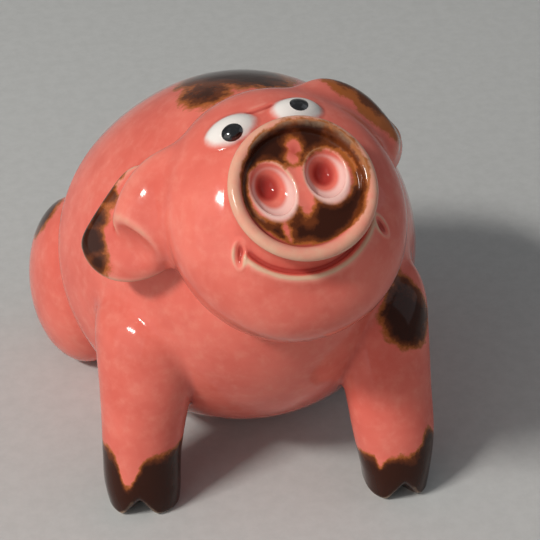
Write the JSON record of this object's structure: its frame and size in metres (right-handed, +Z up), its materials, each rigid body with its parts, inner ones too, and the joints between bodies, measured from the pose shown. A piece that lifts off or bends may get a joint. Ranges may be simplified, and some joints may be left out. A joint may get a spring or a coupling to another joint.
{
  "type": "pig figurine",
  "caption": "Sitting pig ornament in thick pink glazed ceramic with brown spots, head raised and tilted, round snout, folded ears and cloven hooves; stands on a shelf.",
  "frame": {"origin": "middle of the flat seat under the rump, on the surface that the figurine stands on", "axes": "+Z up; the pig faces -Y; its left side is +X"},
  "size_m": [0.0796, 0.1012, 0.088],
  "materials": {
    "pink_glaze": "thick gloss glaze, salmon pink, paling on ridges, with brown iron spots on back, ears, shoulder, snout and hooves",
    "white_glaze": "gloss white glaze that fades into the pink at its edge",
    "black_glaze": "gloss black bead"
  },
  "bodies": {
    "root": {"torso": "pink_glaze", "head": "pink_glaze", "snout": "pink_glaze", "ear_right": "pink_glaze", "ear_left": "pink_glaze", "foreleg_right": "pink_glaze", "foreleg_left": "pink_glaze", "haunch_right": "pink_glaze", "haunch_left": "pink_glaze", "hind_foot_right": "pink_glaze", "hind_foot_left": "pink_glaze", "tail": "pink_glaze", "eye_right": "white_glaze", "eye_left": "white_glaze", "pupil_right": "black_glaze", "pupil_left": "black_glaze"}
  },
  "joints": []
}
